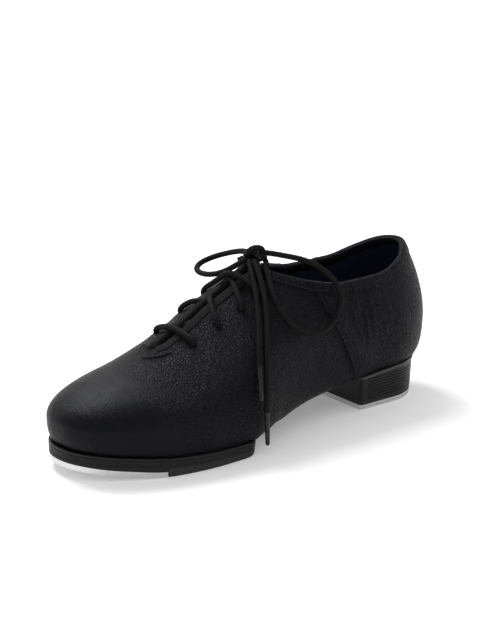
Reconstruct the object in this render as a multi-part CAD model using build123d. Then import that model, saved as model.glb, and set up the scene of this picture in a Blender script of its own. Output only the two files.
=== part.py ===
from build123d import *
import math
import os

# Tap shoe, split sole, lace-up. Millimetres. The toe points to -Y, the heel to +Y, +X is the inner side.
# Stations s run from the toe tip (0) to the back of the heel (LENGTH); y = s - LENGTH / 2.

# ---------------------------------------------------------------- driving dimensions
LENGTH = 264.0
LEATHER = 1.3                  # upper leather thickness
STIFFENER = 0.6                # toe puff, heel counter and eyelet stays
LINED = 2.5                    # leather and lining together
BINDING = 0.8                  # how far a binding stands proud of the leather
BINDING_WIDTH = 5.0
RIM = 1.2                      # how far a binding covers an edge
BODY_GAP = 0.3                 # between pieces on different bodies
FAR = 200.0                    # beyond everything, for cutting regions
PAST = 20.0                    # how far a cutting region runs past the shoe's ends

# The outside of the upper, station by station
STATIONS = [0, 25, 50, 80, 105, 120, 135, 165, 195, 230, 264]
INNER_WIDTH = [40, 41, 44.5, 48, 48.5, 45, 39.5, 32.5, 31, 31, 31]      # widest, +X side
OUTER_WIDTH = [40, 41, 44, 46.5, 47, 46, 43.5, 38, 34, 31, 31]          # widest, -X side
INNER_FEATHER = [34, 36.5, 41.5, 45, 44, 38, 32, 25, 25, 27, 27]        # bottom edge, +X side
OUTER_FEATHER = [34, 36, 40, 42.5, 43, 42, 39, 33, 28.5, 27, 27]        # bottom edge, -X side
BOTTOM_Z = [16, 13, 10.5, 9, 8.5, 9, 10.5, 15.5, 20, 23, 25]
RIDGE_Z = [46, 48, 51.5, 64, 80, 88, 95.5, 106, 112, 116, 116]
WIDEST_Z = [29, 28, 27, 27, 30, 33, 37, 42, 44, 46, 48]
RIDGE_X = [4, 3, 1, 0, 0, 0, 0, 0, 0, 0, 0]
RIDGE_FULLNESS = [.55, .55, .5, .42, .36, .34, .32, .36, .4, .4, .4]
SIDE_FULLNESS = [.55, .6, .6, .55, .5, .5, .5, .5, .5, .45, .45]
TOE_PLAN_R = 62.0              # the toe's roundness in plan, above and below
TOE_TOP_R = 46.0
TOE_BOTTOM_R = 6.0
TOE_Z = 29.0                   # height of the foremost point
TOE_POWER = 2.2
HEEL_PLAN_R = 40.0             # the same at the heel
HEEL_POWER = 2.1
HEEL_TOP_R = 50.0
HEEL_BOTTOM_R = 9.0
HEEL_Z = 50.0
END_STEP = 0.4                 # the small flat at each end of the loft
LOFT_SECTIONS = 20
SLOPE_STEP = 0.5               # for finding the surface's slope
HALVINGS = 40                  # and for finding a point on a section by bisection

# Ball flex: the vamp creases between the toe box and the quarters
FLEX_S = 88.0
FLEX_Z = 8.0
TOE_BOX_S = 40.0
TOE_BOX_Z = 37.5
CREASE_TOP_S = 57.0
CREASE_TOP_Z = 58.0

# Topline, throat and seams
COLLAR_S = [128, 148, 165, 190, 215, 235, 250, 264]
COLLAR_Z = [99, 92, 86, 81.5, 82, 87, 93, 95]
THROAT_S = [70, 76, 100, 125, 150]
THROAT_HALF = [0.6, 3.6, 2.8, 3.4, 4.6]
THROAT_X_S = [60, 75, 95, 115, 150]                  # the throat's middle line
THROAT_X = [-3.5, -3.5, -1.5, 0, 0]
THROAT_TOP_S = 150
THROAT_LOW_Z = 30              # what is cut along the throat lies above this
CRESCENT_WIDE = 14.5
CRESCENT_FRONT_S = 60.5
CRESCENT_BACK_S = 66.5
CRESCENT_HORN_S = 73.5
SEAM_Z = [8, 20, 40, 60, 80, 100]
SEAM_S = [199, 195, 186, 176, 166, 156]
EYELET_S = [84, 100, 116, 131]
EYELET_X = 18.0                # from the throat's middle line
EYELET_R = 2.0
STAY_WIDE = 24.0
STAY_DROP = 3.0                # its top edge lies this far below the topline
PUFF_RISE = 5.0                # toe puff and heel counter end this far above the feather line
PUFF_END_S = TOE_BOX_S - 2
COUNTER_FRONT_S = 208.0
COUNTER_TOP = [(214, 66), (LENGTH + 20, 72)]          # its top edge, s and z


# Forefoot sole, from the ground up
SOLE_S = [0, 25, 50, 75, 97, 110, 122]
GROUND_Z = [6.2, 2.4, -0.2, -0.2, -0.2, 2.3, 5.2]      # below 0 it is cut flat by the floor
OUTSOLE_Z = [10.8, 7.2, 5.1, 4.4, 3.8, 4.4, 6.3]
MIDSOLE_Z = [13.3, 10.3, 7.9, 6.7, 6.0, 6.1, 7.2]
TAP = 3.2
SOLE_MARGIN = 2.6              # how far the midsole stands out from the feather line
MIDSOLE_LAP = 0.4              # how far its edge laps up the upper
OUTSOLE_STEP = 0.4             # each layer below is a little smaller
SOLE_END_S = 121.0
SOLE_SHOULDER_S = 108.0
SOLE_CORNER_R = 9.0
TAP_END_S = 46.0
PAD_GAP = 0.6
TAP_SCREWS = [(4, 12), (-21, 30), (25, 30)]          # x and s
SCREW_HEAD_R = 3.2
SCREW_R = 1.4
SCREW_CONE = 2.0
SCREW_LENGTH = 9.0
SCREW_SLOT = (0.7, 1.0)        # width and depth
SCREW_SINK = 0.3               # the heads sit this far inside the tap
BOARD_MIN = 0.5                # least thickness of the soundboard

# Heel
HEEL_BREAST_S = 200.0
HEEL_BACK_S = 254.0            # at the floor
HEEL_HALF = 27.0               # at the floor
HEEL_FLARE = 1.5               # wider at the top, over HEEL_FLARE_Z
HEEL_FLARE_Z = 26.0
HEEL_TAP = 3.0
TOP_PIECE = 1.6
TOP_PIECE_STEP = 0.3           # it stands in by this much
HEEL_RAND = 0.9
RAND_PROUD = 0.5
RAND_LAP = 0.6                 # how far it laps up the upper
HEEL_CORNER_R = 2.0
GROOVE_PITCH = 1.8
GROOVE = 0.55
GROOVE_DEPTH = 0.6
GROOVE_FRONT = 4.5             # smooth band behind the breast
HEEL_SCREWS = [(0, 243), (-16, 212), (16, 212)]
HEEL_NAILS = [(0, 246), (-15, 236), (15, 236), (-17, 210), (17, 210)]
NAIL_R = 1.0
NAIL_HEAD_R = 2.2
NAIL_LENGTH = 15.0
NAIL_HEAD = 0.8
NAIL_SINK = 0.5                # the heads sit this far inside the insole

# Inside
INSOLE = 1.8
SOCK = 1.0
TONGUE_S = 66.5                # where the tongue is sewn in
TONGUE_END_S = 140.0
TONGUE_LOW_Z = 42.0            # all of it lies above this
TONGUE_FRONT_DEPTH = 3.4       # below the outside of the upper, at the sewn edge
TONGUE_DEPTH = 8.6             # and from TONGUE_DROP further back
TONGUE_DROP = 16.0
TONGUE_LEATHER = 1.3
TONGUE_LINING = 1.0
TONGUE_HALF_FRONT = 12.0
TONGUE_HALF_BACK = 22.0
TONGUE_ROUND = 8.0             # how far its free end is rounded out

# Lace
LACE = 3.6
LACE_OVER = 3.0                # the lace's middle above the leather, where it lies on a facing
LACE_UNDER = 4.6               # and below it, behind the facing
BAR_OVER = 3.6                 # the bottom bar's middle above the leather, over the throat
BAR_HALF = 9.0                 # from there it comes down to the facings
BAR_LOW = 3.4                  # its height at that point
LACE_DIP = 0.4                 # it dips into each eyelet
# Where the two halves of the lace cross between eyelet pairs: the height of each half's strand.
CROSS_BELOW = {1: -6.4, -1: -1.2}
CROSS_THROUGH = {1: -3.4, -1: 1.6}
CROSS_ABOVE = {1: 2.2, -1: 7.2}
AGLET = 3.0
KNOT = (0, 8, 103.5)
KNOT_SIZE = (9.5, 7.0, 6.0)    # half axes
OUTER_LOOP = [(-3, 7, 103), (-11, 9, 102), (-20, 9.8, 99.5), (-28.6, 8.4, 96.5), (-35.4, 3.9, 93.5),
              (-37.5, -3.2, 91), (-33.8, -9.6, 89.6), (-26.2, -13, 89.2), (-17.5, -13, 90), (-9.5, -10, 92.3),
              (-4, -4, 96.5), (-1.5, 2.5, 100.5)]
INNER_LOOP = [(1, 10, 104), (5, 16, 103), (10.5, 22.5, 101.5), (15.5, 30, 99.5), (20.5, 37, 96),
              (24.8, 42.5, 90.5), (28.5, 46.8, 84), (30.4, 48.4, 76.5), (31.8, 46, 69), (33.6, 40, 63),
              (35.3, 31, 59.8), (36, 21.5, 60), (35.3, 13, 64.2), (33.4, 6.5, 70), (30.1, 2.9, 76),
              (25.3, 2.4, 82.3), (19.8, 4, 88.2), (14, 6.4, 93.6), (8, 8.5, 98.6)]
LONG_END = [(5, 3.8, 100.6), (11.5, 1.6, 95.6), (18, -0.8, 89.6), (24.2, -3.4, 82.6), (31.4, -8.2, 73),
            (38.2, -13.8, 63), (44, -17.9, 53.8), (48.5, -21.2, 44.2), (51, -23.4, 34), (51.4, -23.7, 27.5)]
LONG_TIP = (52.6, -24, 7.6)
SHORT_END = [(1.5, 2.6, 100.2), (7.7, -0.8, 95.8), (13.4, -3.4, 91.1), (19.8, -6.4, 84.8), (27.5, -11, 76),
             (34.5, -16, 67.1), (40, -20.4, 59.1), (43.6, -23, 52.6)]
SHORT_TIP = (53.1, -29.2, 35.6)

parts = {}


def keep(node, shape):
    """One node: its solids, as one shape."""
    solids = shape.solids()
    parts[node] = solids[0] if len(solids) == 1 else Compound(children=list(solids))


def pin(radius, length, low=True):
    """An upright cylinder that stands on the origin, or hangs from it."""
    return Cylinder(radius, length, align=(Align.CENTER, Align.CENTER, Align.MIN if low else Align.MAX))


# ---------------------------------------------------------------- curves and the skin
def smooth(xs, ys, x):
    """A smooth curve through (xs, ys) that never overshoots its points."""
    n = len(xs)
    step = [xs[i + 1] - xs[i] for i in range(n - 1)]
    rise = [(ys[i + 1] - ys[i]) / step[i] for i in range(n - 1)]
    slope = [rise[0]] + [0.0] * (n - 2) + [rise[-1]]
    for i in range(1, n - 1):
        if rise[i - 1] * rise[i] > 0:
            before = 2 * step[i] + step[i - 1]
            after = step[i] + 2 * step[i - 1]
            slope[i] = (before + after) / (before / rise[i - 1] + after / rise[i])
    i = max(k for k in range(n - 1) if k == 0 or xs[k] <= x)
    t = min(max((x - xs[i]) / step[i], 0.0), 1.0)
    after = 3 * t**2 - 2 * t**3
    bend = (t**3 - 2 * t**2 + t) * slope[i] + (t**3 - t**2) * slope[i + 1]
    return (1 - after) * ys[i] + after * ys[i + 1] + step[i] * bend


def nose(distance, radius, power):
    """How wide a rounded end is at a distance from its tip: 0 at the tip, 1 past the radius."""
    q = min(max(1 - distance / radius, 0.0), 1.0)
    return (1 - q**power) ** (1 / power)


def at(table, s):
    return smooth(STATIONS, table, s)


def plan(s):
    return nose(s, TOE_PLAN_R, TOE_POWER) * nose(LENGTH - s, HEEL_PLAN_R, HEEL_POWER)


def heights(s):
    """Bottom, widest line and ridge of the upper at a station."""
    toe_top, toe_low = nose(s, TOE_TOP_R, TOE_POWER), nose(s, TOE_BOTTOM_R, 2)
    heel_top, heel_low = nose(LENGTH - s, HEEL_TOP_R, 2), nose(LENGTH - s, HEEL_BOTTOM_R, 2)
    low = TOE_Z - (TOE_Z - at(BOTTOM_Z, s)) * toe_low
    mid = TOE_Z + (at(WIDEST_Z, s) - TOE_Z) * toe_top
    top = TOE_Z + (at(RIDGE_Z, s) - TOE_Z) * toe_top
    low = HEEL_Z - (HEEL_Z - low) * heel_low
    mid = HEEL_Z + (mid - HEEL_Z) * heel_top
    top = HEEL_Z + (top - HEEL_Z) * heel_top
    return low, mid, top


def quadrants(s, inset):
    """The four Bezier quadrants of a section, as (x, z) points, from the +X feather line over the ridge."""
    low, mid, top = heights(s)
    low, top = low + inset, top - inset
    ridge = at(RIDGE_X, s)
    curves = []
    for side, widths, feathers in ((1, INNER_WIDTH, INNER_FEATHER), (-1, OUTER_WIDTH, OUTER_FEATHER)):
        wide = side * (at(widths, s) * plan(s) - inset)
        feather = side * (at(feathers, s) * plan(s) - inset)
        out = wide - feather
        lower = [(feather, low), (feather + 0.75 * out, low + 0.12 * (mid - low)),
                 (wide, low + 0.45 * (mid - low)), (wide, mid)]
        upper = [(wide, mid), (wide, mid + at(SIDE_FULLNESS, s) * (top - mid)),
                 (ridge + at(RIDGE_FULLNESS, s) * (wide - ridge), top), (ridge, top)]
        curves.append((lower, upper))
    (low_in, up_in), (low_out, up_out) = curves
    return [low_in, up_in, up_out[::-1], low_out[::-1]]


def skin(inset):
    """The closed body of the upper, inset all round by a depth or by a function of s (outset if negative)."""
    wires = []
    for k in range(LOFT_SECTIONS + 1):
        s = LENGTH * (1 - math.cos(math.pi * k / LOFT_SECTIONS)) / 2
        s = min(max(s, END_STEP), LENGTH - END_STEP)
        depth = inset(s) if callable(inset) else inset
        y = (s - LENGTH / 2) * (1 - 2 * depth / LENGTH)
        edges = [Bezier(*[(x, y, z) for x, z in q]) for q in quadrants(s, depth)]
        edges.append(Line(edges[-1] @ 1, edges[0] @ 0))
        wires.append(Wire(edges))
    return Solid.make_loft(wires)


def y_of(s):
    return s - LENGTH / 2


# ---------------------------------------------------------------- cutting regions
def across(edges):
    """A side-view outline, as edges in the YZ plane, carried across the whole width."""
    return extrude(Face(Wire(edges)), amount=FAR, dir=(1, 0, 0), both=True)


def side_polygon(*points):
    """A side-view polygon of (s, z) points, carried across the whole width."""
    corners = [(0, y_of(s), z) for s, z in points]
    return across(Polyline(*corners, close=True).edges())


def side_layer(low, high, s0, s1, count=12):
    """All between two heights, each a function of s, carried across the whole width."""
    stations = [s0 + (s1 - s0) * k / count for k in range(count + 1)]
    upper = Spline(*[(0, y_of(s), high(s)) for s in stations])
    lower = Spline(*[(0, y_of(s), low(s)) for s in reversed(stations)])
    return across([upper, Line(upper @ 1, lower @ 0), lower, Line(lower @ 1, upper @ 0)])


def upright(edges, low):
    """A plan outline, as edges at z = 0, carried up from a height."""
    return Pos(0, 0, low) * extrude(Face(Wire(edges)), amount=FAR, dir=(0, 0, 1))


def throat_x(s):
    return smooth(THROAT_X_S, THROAT_X, s)


def throat_half(s):
    return smooth(THROAT_S, THROAT_HALF, s)


def throat_strip(low, high, s0, s1, side=0):
    """Plan strip along the throat, from low to high outside its edge: on one side, or both (side 0)."""
    stations = [s0 + (s1 - s0) * k / 10 for k in range(11)]
    outer = [(throat_x(s) + (side or 1) * (throat_half(s) + high), y_of(s), 0) for s in stations]
    if side:
        inner = [(throat_x(s) + side * (throat_half(s) + low), y_of(s), 0) for s in stations]
    else:
        inner = [(throat_x(s) - throat_half(s) - high, y_of(s), 0) for s in stations]
    rising = Spline(*outer)
    falling = Spline(*reversed(inner))
    edges = [rising, Line(rising @ 1, falling @ 0), falling, Line(falling @ 1, rising @ 0)]
    return upright(edges, THROAT_LOW_Z)


def collar_z(s):
    return smooth(COLLAR_S, COLLAR_Z, s)


def collar_layer(low, high):
    """The layer between two heights above the topline."""
    return side_layer(lambda s: collar_z(s) + low, lambda s: collar_z(s) + high, COLLAR_S[0], LENGTH + 3, 16)


def bottom_z(s):
    return at(BOTTOM_Z, s)


# ---------------------------------------------------------------- skins and shells
outer_skin = skin(0)
leather_skin = skin(LEATHER)
stiff_skin = skin(LEATHER + STIFFENER)
lined_skin = skin(LINED)
bound_skin = skin(-BINDING)
clear_skin = skin(-BODY_GAP)
inner_skin = skin(LINED + BODY_GAP)

foot_opening = collar_layer(0, FAR)
slot = throat_strip(0, RIM, THROAT_S[0], THROAT_TOP_S)
crease_lean = (FLEX_S - CREASE_TOP_S) / (CREASE_TOP_Z - FLEX_Z)
crease_tip_z = FLEX_Z + (FLEX_S - TOE_BOX_S) / crease_lean
front = side_polygon((-PAST, -PAST), (FLEX_S, -PAST), (FLEX_S, FLEX_Z), (TOE_BOX_S, TOE_BOX_Z),
                     (TOE_BOX_S, FAR), (-PAST, FAR))
crease = side_polygon((FLEX_S, FLEX_Z), (TOE_BOX_S + BODY_GAP, TOE_BOX_Z + BODY_GAP),
                      (TOE_BOX_S + BODY_GAP, crease_tip_z - BODY_GAP))
rear = side_polygon((FLEX_S + BODY_GAP, -PAST), (FLEX_S + BODY_GAP, FLEX_Z), (TOE_BOX_S, crease_tip_z),
                    (TOE_BOX_S, FAR), (LENGTH + PAST, FAR), (LENGTH + PAST, -PAST))
seam = Spline(*[(0, y_of(s), z) for s, z in zip(SEAM_S, SEAM_Z)])
seam_corners = [(0, y_of(s), z) for s, z in ((SEAM_S[-1] - 2 * PAST, FAR), (LENGTH + PAST, FAR),
                                             (LENGTH + PAST, -PAST), (SEAM_S[0], -PAST))]
behind_seam = across([seam] + Polyline(seam @ 1, *seam_corners, seam @ 0).edges())


def surface(s, x):
    """The outside of the upper at a station and an x, on its upper half: the point and the outward normal."""
    def height(s, x):
        curves = quadrants(s, 0)
        ridge = at(RIDGE_X, s)
        points = curves[1] if x >= ridge else curves[2][::-1]
        a, b = 0.0, 1.0
        for _ in range(HALVINGS):
            t = (a + b) / 2
            f = [(1 - t)**3, 3 * (1 - t)**2 * t, 3 * (1 - t) * t * t, t**3]
            reach = sum(w * p[0] for w, p in zip(f, points))
            if abs(reach - ridge) > abs(x - ridge):
                a = t
            else:
                b = t
        return sum(w * p[1] for w, p in zip(f, points))
    d = SLOPE_STEP
    normal = Vector(-(height(s, x + d) - height(s, x - d)) / (2 * d),
                    -(height(s + d, x) - height(s - d, x)) / (2 * d), 1).normalized()
    return Vector(x, y_of(s), height(s, x)), normal


def off_surface(s, x, height):
    point, normal = surface(s, x)
    return point + normal * height


# ---------------------------------------------------------------- upper
def eyelet_holes():
    holes = []
    for s in EYELET_S:
        for side in (1, -1):
            point, normal = surface(s, throat_x(s) + side * EYELET_X)
            holes.append(Plane(origin=point, z_dir=normal) * Cylinder(EYELET_R, 4 * LINED))
    return holes


def build_upper():
    leather = outer_skin - leather_skin - foot_opening - slot
    lining = leather_skin - lined_skin - foot_opening - slot
    stiff = leather_skin - stiff_skin
    for hole in eyelet_holes():
        leather -= hole
        lining -= hole
        stiff -= hole

    above_bottom = side_layer(lambda s: bottom_z(s) + PUFF_RISE, lambda s: FAR, -PAST, LENGTH + PAST)
    toe_part = side_polygon((-PAST, -PAST), (PUFF_END_S, -PAST), (PUFF_END_S, FAR), (-PAST, FAR))
    heel_part = side_polygon((COUNTER_FRONT_S, -PAST), *COUNTER_TOP, (LENGTH + PAST, -PAST))
    puff = stiff & toe_part & above_bottom
    counter = stiff & heel_part & above_bottom
    keep("toe_puff", puff)
    keep("heel_counter", counter)
    lining = lining - puff - counter
    for name, side in (("eyelet_stay_inner", 1), ("eyelet_stay_outer", -1)):
        stay = stiff & throat_strip(RIM + 1, STAY_WIDE, THROAT_S[1], EYELET_S[-1] + 4, side)
        stay = stay & side_layer(lambda s: THROAT_LOW_Z, lambda s: collar_z(s) - STAY_DROP,
                                 THROAT_S[1] - 2, EYELET_S[-1] + 6)
        keep(name, stay)
        lining = lining - stay

    for nail in nails:
        leather -= nail
        lining -= nail
    keep("toe_vamp", leather & front)
    keep("toe_lining", lining & front)
    keep("vamp_crease", (outer_skin - lined_skin) & crease)
    body = leather & rear
    keep("vamp_quarters", body - behind_seam)
    keep("heel_quarter", body & behind_seam)
    inside = lining & rear
    keep("vamp_lining", inside - behind_seam)
    keep("heel_lining", inside & behind_seam)


def build_bindings():
    proud = bound_skin - outer_skin
    rim = bound_skin - lined_skin
    bands = {}
    for name, side in (("throat_binding_inner", 1), ("throat_binding_outer", -1)):
        flat = proud & throat_strip(RIM, RIM + BINDING_WIDTH, THROAT_S[0] + 1, THROAT_TOP_S - 4, side)
        edge = rim & throat_strip(0, RIM, THROAT_S[0] + 1, THROAT_TOP_S - 4, side)
        bands[name] = (flat + edge) - foot_opening
    flat = proud & collar_layer(-BINDING_WIDTH, 0)
    edge = rim & collar_layer(0, RIM)
    topline = (flat + edge) - throat_strip(0, 0, THROAT_S[0], THROAT_TOP_S)
    for name, band in bands.items():
        topline = topline - band
        keep(name, band)
    keep("topline_binding", topline)


def build_crescent():
    """The half-moon stitched on the vamp at the bottom of the throat."""
    x = THROAT_X[0]
    horns = [(x + side * CRESCENT_WIDE, y_of(CRESCENT_HORN_S), 0) for side in (1, -1)]
    outer = ThreePointArc(horns[0], (x, y_of(CRESCENT_FRONT_S), 0), horns[1])
    inner = ThreePointArc(horns[1], (x, y_of(CRESCENT_BACK_S), 0), horns[0])
    keep("throat_crescent", (bound_skin - outer_skin) & upright([outer, inner], THROAT_LOW_Z))


def build_tongue():
    def depth(s):
        return smooth([0, TONGUE_S, TONGUE_S + TONGUE_DROP, LENGTH],
                      [TONGUE_FRONT_DEPTH, TONGUE_FRONT_DEPTH, TONGUE_DEPTH, TONGUE_DEPTH], s)

    def half(s):
        back = (s - TONGUE_S) / (TONGUE_END_S - TONGUE_S)
        return TONGUE_HALF_FRONT + (TONGUE_HALF_BACK - TONGUE_HALF_FRONT) * back
    top = skin(depth)
    middle = skin(lambda s: depth(s) + TONGUE_LEATHER)
    low = skin(lambda s: depth(s) + TONGUE_LEATHER + TONGUE_LINING)
    stations = [TONGUE_S + (TONGUE_END_S - TONGUE_S) * k / 6 for k in range(7)]
    right = Spline(*[(throat_x(s) + half(s), y_of(s), 0) for s in stations])
    left = Spline(*[(throat_x(s) - half(s), y_of(s), 0) for s in reversed(stations)])
    tip = ThreePointArc(right @ 1, (throat_x(TONGUE_END_S), y_of(TONGUE_END_S + TONGUE_ROUND), 0), left @ 0)
    outline = upright([right, tip, left, Line(left @ 1, right @ 0)], TONGUE_LOW_Z)
    keep("tongue", (top - middle) & outline)
    keep("tongue_lining", (middle - low) & outline)


def build_insole():
    def cover_low(s):
        return bottom_z(s) + LINED + BODY_GAP + INSOLE
    board = side_layer(bottom_z, cover_low, -4, LENGTH + 4)
    cover = side_layer(cover_low, lambda s: cover_low(s) + SOCK, -4, LENGTH + 4)
    keep("insole_board", (inner_skin & board) - nails)
    keep("sock_liner", inner_skin & cover)


# ---------------------------------------------------------------- forefoot sole
def sole_outline(margin):
    """Plan outline of the forefoot sole: the feather line plus a margin, rounded off behind the ball."""
    turns = [math.pi / 2 * k / 8 for k in range(1, 9)]
    stations = [TOE_PLAN_R * (1 - math.cos(turn)) for turn in turns]
    stations += [(TOE_PLAN_R + SOLE_SHOULDER_S) / 2, SOLE_SHOULDER_S]

    def edge(feathers, side, s):
        return side * (at(feathers, s) + margin) * nose(s, TOE_PLAN_R, TOE_POWER), y_of(s), 0
    points = [edge(INNER_FEATHER, 1, s) for s in reversed(stations)]
    points += [(0, y_of(0), 0)]
    points += [edge(OUTER_FEATHER, -1, s) for s in stations]
    rim = Spline(*points)
    back = ThreePointArc(rim @ 1, (0, y_of(SOLE_END_S), 0), rim @ 0)
    face = Face(Wire([rim, back]))
    return fillet(face.vertices(), SOLE_CORNER_R)


def sole_prism(margin):
    return Pos(0, 0, -PAST) * extrude(sole_outline(margin), amount=FAR, dir=(0, 0, 1))


def by_station(table):
    return lambda s: smooth(SOLE_S, table, s)


def countersunk_screws(places, ground):
    """Screws driven upwards: each as a solid with a straight slot, the mouth below it and the whole body."""
    screws = []
    for x, s in places:
        base = ground(s) + SCREW_SINK
        head = Pos(x, y_of(s), base) * Cone(SCREW_HEAD_R, SCREW_R, SCREW_CONE,
                                            align=(Align.CENTER, Align.CENTER, Align.MIN))
        shank = Pos(x, y_of(s), base + SCREW_CONE) * pin(SCREW_R, SCREW_LENGTH - SCREW_CONE)
        driver_slot = Pos(x, y_of(s), base) * Box(2 * SCREW_HEAD_R, *SCREW_SLOT)
        mouth = Pos(x, y_of(s), base) * pin(SCREW_HEAD_R, TAP, low=False)
        screws.append(((head + shank) - driver_slot, mouth, head + shank))
    return screws


def drill(layer, screws):
    for _, mouth, whole in screws:
        layer = layer - mouth - whole
    return layer


def build_sole():
    ground, outsole_low, midsole_low = by_station(GROUND_Z), by_station(OUTSOLE_Z), by_station(MIDSOLE_Z)
    screws = countersunk_screws(TAP_SCREWS, ground)
    pad_s = TAP_END_S + PAD_GAP
    tap_part = side_polygon((-PAST, 0), (TAP_END_S, 0), (TAP_END_S, FAR), (-PAST, FAR))
    pad_part = side_polygon((pad_s, 0), (LENGTH, 0), (LENGTH, FAR), (pad_s, FAR))

    def layer(margin, low, high):
        return sole_prism(margin) & side_layer(low, high, -3, SOLE_END_S + 3, 24)

    def board_low(s):
        return min(ground(s) + TAP, outsole_low(s) - BOARD_MIN)
    tap_margin = SOLE_MARGIN - 2 * OUTSOLE_STEP
    tap = layer(tap_margin, ground, lambda s: ground(s) + TAP) & tap_part
    board = layer(tap_margin, board_low, outsole_low) & tap_part
    pad = layer(tap_margin, ground, outsole_low) & pad_part
    outsole = layer(SOLE_MARGIN - OUTSOLE_STEP, outsole_low, midsole_low)
    midsole = layer(SOLE_MARGIN, midsole_low, lambda s: bottom_z(s) + MIDSOLE_LAP) - clear_skin
    for name, layer in (("toe_tap", tap), ("toe_soundboard", board), ("rubber_pad", pad), ("outsole", outsole),
                        ("midsole", midsole)):
        keep(name, drill(layer, screws))
    keep("toe_tap_screws", Compound(children=[screw for screw, _, _ in screws]))


# ---------------------------------------------------------------- heel
def heel_outline(half, back_s, breast_s):
    """Plan of the heel: straight breast with rounded corners, half-round back."""
    middle = y_of(back_s) - half
    front_y = y_of(breast_s)
    arc = ThreePointArc((half, middle, 0), (0, y_of(back_s), 0), (-half, middle, 0))
    rest = Polyline(arc @ 1, (-half, front_y, 0), (half, front_y, 0), arc @ 0)
    face = Face(Wire([arc] + rest.edges()))
    corners = [v for v in face.vertices() if abs(v.Y - front_y) < 0.01]
    return fillet(corners, HEEL_CORNER_R)


def heel_slice(z, grow=0.0, breast_s=HEEL_BREAST_S):
    flare = HEEL_FLARE * z / HEEL_FLARE_Z + grow
    return Pos(0, 0, z) * heel_outline(HEEL_HALF + flare, HEEL_BACK_S + flare, breast_s)


def heel_prism(low, high, grow=0.0):
    return Solid.make_loft([heel_slice(z, grow).faces()[0].outer_wire() for z in (low, high)])


def heel_groove(z, breast_s):
    """A ring round the heel's edge, from a station on, to cut away."""
    whole = extrude(heel_slice(z, GROOVE_PITCH, breast_s), amount=GROOVE, dir=(0, 0, 1))
    core = extrude(heel_slice(z, -GROOVE_DEPTH), amount=GROOVE, dir=(0, 0, 1))
    return whole - core


def build_heel():
    def under(s):
        return bottom_z(s) - HEEL_RAND
    screws = countersunk_screws(HEEL_SCREWS, lambda s: 0.0)
    block_z = HEEL_TAP + TOP_PIECE
    reach = HEEL_BREAST_S - PAST / 4, LENGTH + PAST / 4
    tap = heel_prism(0, HEEL_TAP) - heel_groove((HEEL_TAP - GROOVE) / 2, HEEL_BREAST_S)
    piece = heel_prism(HEEL_TAP, block_z, -TOP_PIECE_STEP)
    block = heel_prism(block_z, HEEL_FLARE_Z + PAST) & side_layer(lambda s: 0, under, *reach)
    rand = heel_prism(HEEL_TAP, HEEL_FLARE_Z + PAST, RAND_PROUD) & side_layer(
        under, lambda s: bottom_z(s) + RAND_LAP, *reach)
    for k in range(1, int((bottom_z(HEEL_BREAST_S) - block_z) / GROOVE_PITCH) + 1):
        block = block - heel_groove(block_z + k * GROOVE_PITCH, HEEL_BREAST_S + GROOVE_FRONT)
    block = block - outer_skin - nails
    rand = rand - outer_skin - nails
    for name, piece_shape in (("heel_tap", tap), ("heel_top_piece", piece), ("heel_block", block)):
        keep(name, drill(piece_shape, screws))
    keep("heel_rand", rand)
    keep("heel_tap_screws", Compound(children=[screw for screw, _, _ in screws]))


def heel_nails():
    """Nails driven down from inside, through the heel seat into the block."""
    found = []
    for x, s in HEEL_NAILS:
        top = bottom_z(s) + LINED + BODY_GAP + INSOLE - NAIL_SINK
        head = Pos(x, y_of(s), top) * pin(NAIL_HEAD_R, NAIL_HEAD, low=False)
        stem = Pos(x, y_of(s), top) * pin(NAIL_R, NAIL_LENGTH, low=False)
        found.append(head + stem)
    return found


# ---------------------------------------------------------------- lace
def cord(node, route):
    """A round cord along a route: straight runs joined by arcs as large as the runs allow."""
    points = [Vector(*p) for p in route]
    runs = [b - a for a, b in zip(points, points[1:])]
    radii = []
    for before, after in zip(runs, runs[1:]):
        turn = math.radians(before.get_angle(after))
        radii.append(0.45 * min(before.length, after.length) / math.tan(turn / 2))
    path = Wire(FilletPolyline(*points, radius=radii).edges())
    start = Plane(origin=path @ 0, z_dir=path % 0)
    tube = sweep((start * Circle(LACE / 2)).faces()[0], path=path)
    section = math.pi * LACE**2 / 4
    print(node, "length %.1f" % path.length, "volume ratio %.4f" % (tube.volume / (section * path.length)),
          "radii", [round(r, 1) for r in radii], "runs", [round(r.length, 1) for r in runs])
    keep(node, tube)


def crossing_route(side):
    """Half of the lacing, from the middle of the bottom bar to the knot, first eyelet on the given side."""
    holes = [(s, throat_x(s), side * (-1) ** k) for k, s in enumerate(EYELET_S)]

    def near(k, ahead, across, height):
        s, middle, out = holes[k]
        return off_surface(s + ahead, middle + out * across, height)

    def cross(k, height):
        s = (EYELET_S[k] + EYELET_S[k + 1]) / 2
        return off_surface(s, throat_x(s), height)

    def hole(k, *heights):
        return [near(k, 0, EYELET_X, height) for height in heights]

    over, low, under = LACE_OVER, LACE_OVER - LACE_DIP, -LACE_UNDER
    bar = [near(0, 0, 0, BAR_OVER), near(0, 0, BAR_HALF, BAR_LOW), *hole(0, low, under), near(0, 4, 8, under)]
    first = [cross(0, CROSS_BELOW[side]), near(1, -4, 8, under), *hole(1, under, low), near(1, 4, 7.5, over)]
    second = [cross(1, CROSS_THROUGH[side]), near(2, -4, 8, under), *hole(2, under, low), near(2, 4, 7.5, over)]
    last = [cross(2, CROSS_ABOVE[side]), near(3, -4, 7.5, over), *hole(3, low, under), near(3, 3, 8, under)]
    return bar + first + second + last + [near(3, 6, 2.2, 1.5)]


def aglet(node, top, tip):
    """The hard tip of a lace end."""
    along = Vector(*tip) - Vector(*top)
    plane = Plane(origin=top, z_dir=along)
    keep(node, plane * pin(AGLET / 2, along.length))


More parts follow.
